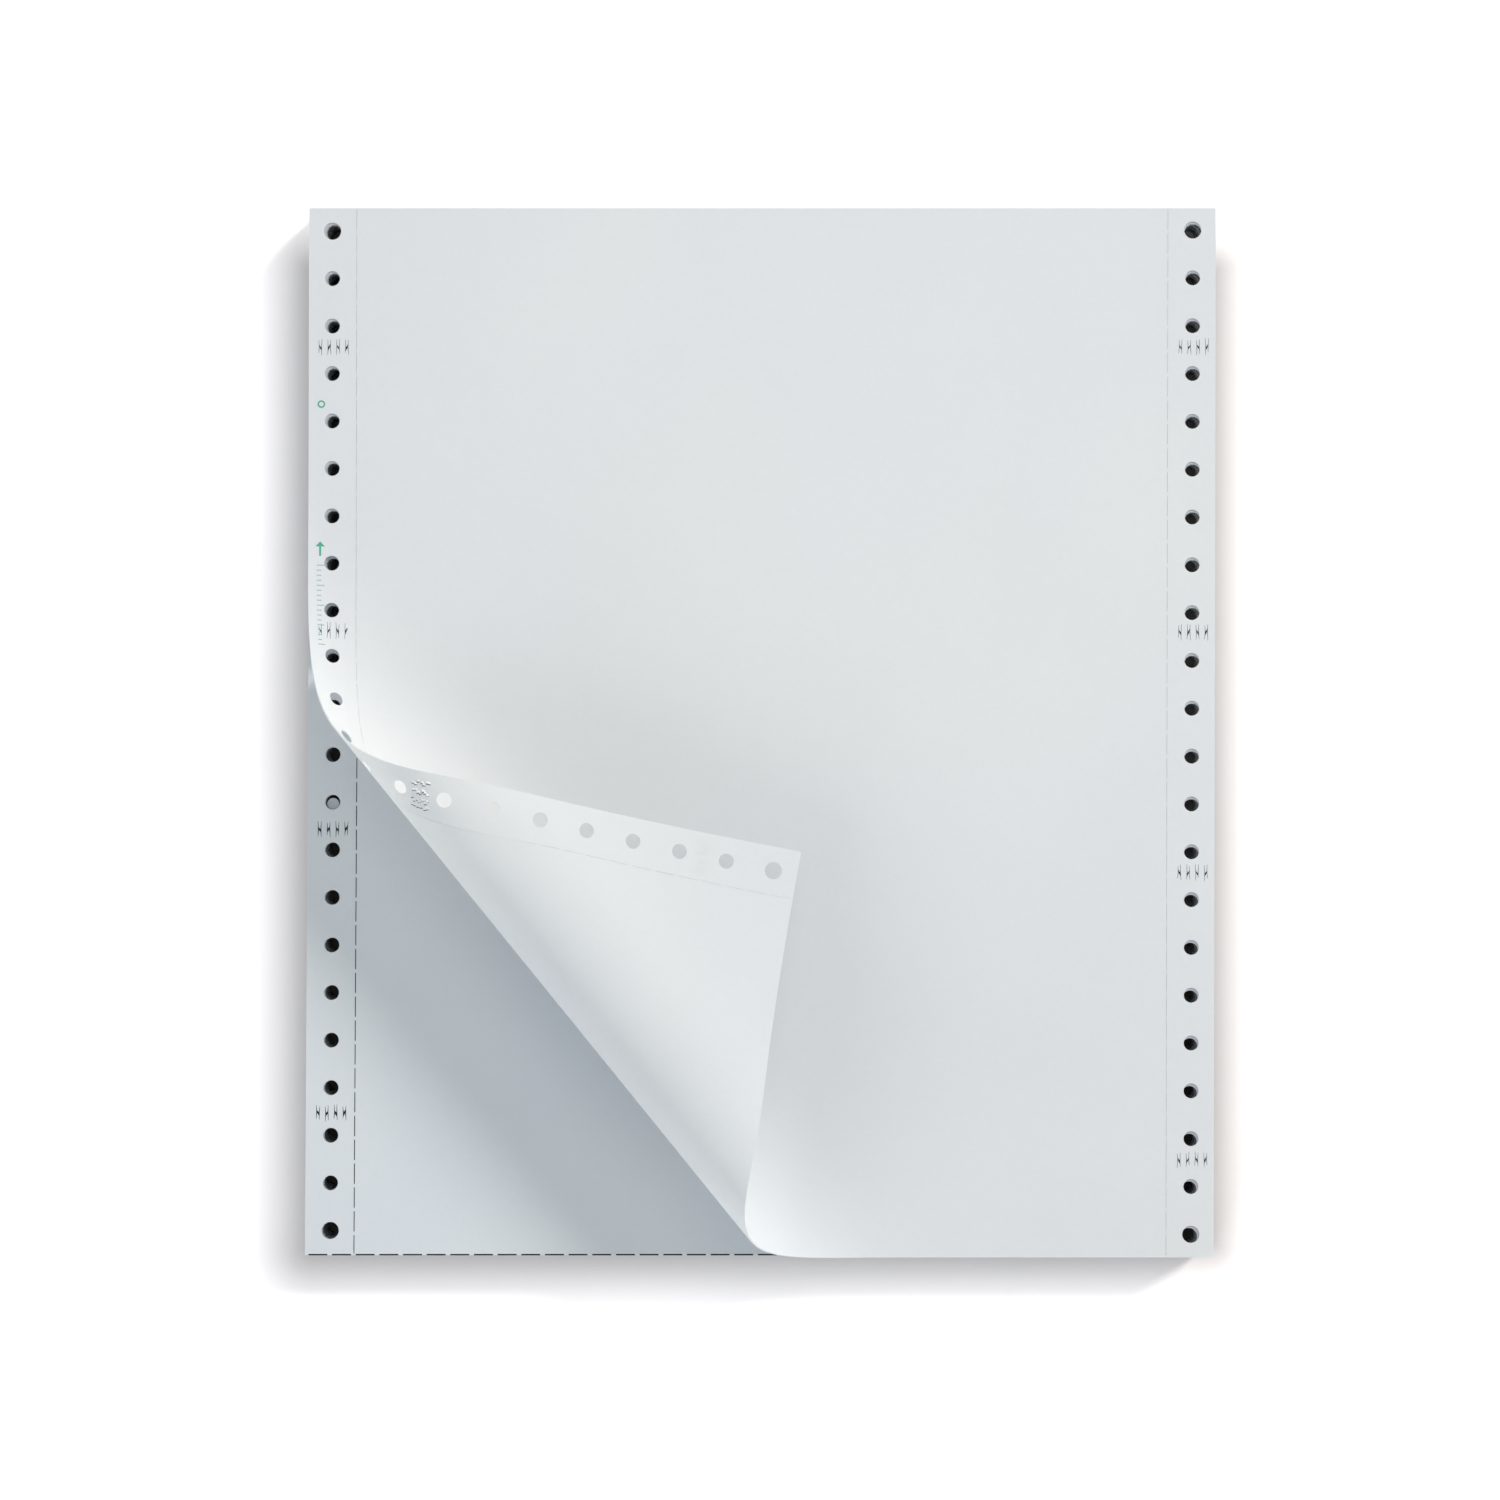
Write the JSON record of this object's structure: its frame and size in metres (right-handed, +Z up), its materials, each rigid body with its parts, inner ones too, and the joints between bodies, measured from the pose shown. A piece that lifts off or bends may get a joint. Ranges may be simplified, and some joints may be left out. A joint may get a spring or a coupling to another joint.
{
  "type": "fanfold continuous form paper",
  "caption": "Pack of fanfold continuous form paper with feed holes and tear-off perforations down both sides, the top form's corner rolled back.",
  "frame": {"origin": "centre of the bounding box on the underside of the pack", "axes": "+X across the forms to the right, +Y along the forms to the rear fold of the top form, +Z up out of the pack"},
  "size_m": [0.2414, 0.2794, 0.0513],
  "materials": {
    "paper_white": "matte uncoated paper, faintly translucent"
  },
  "bodies": {
    "root": {"form_pack": "paper_white"}
  },
  "joints": []
}
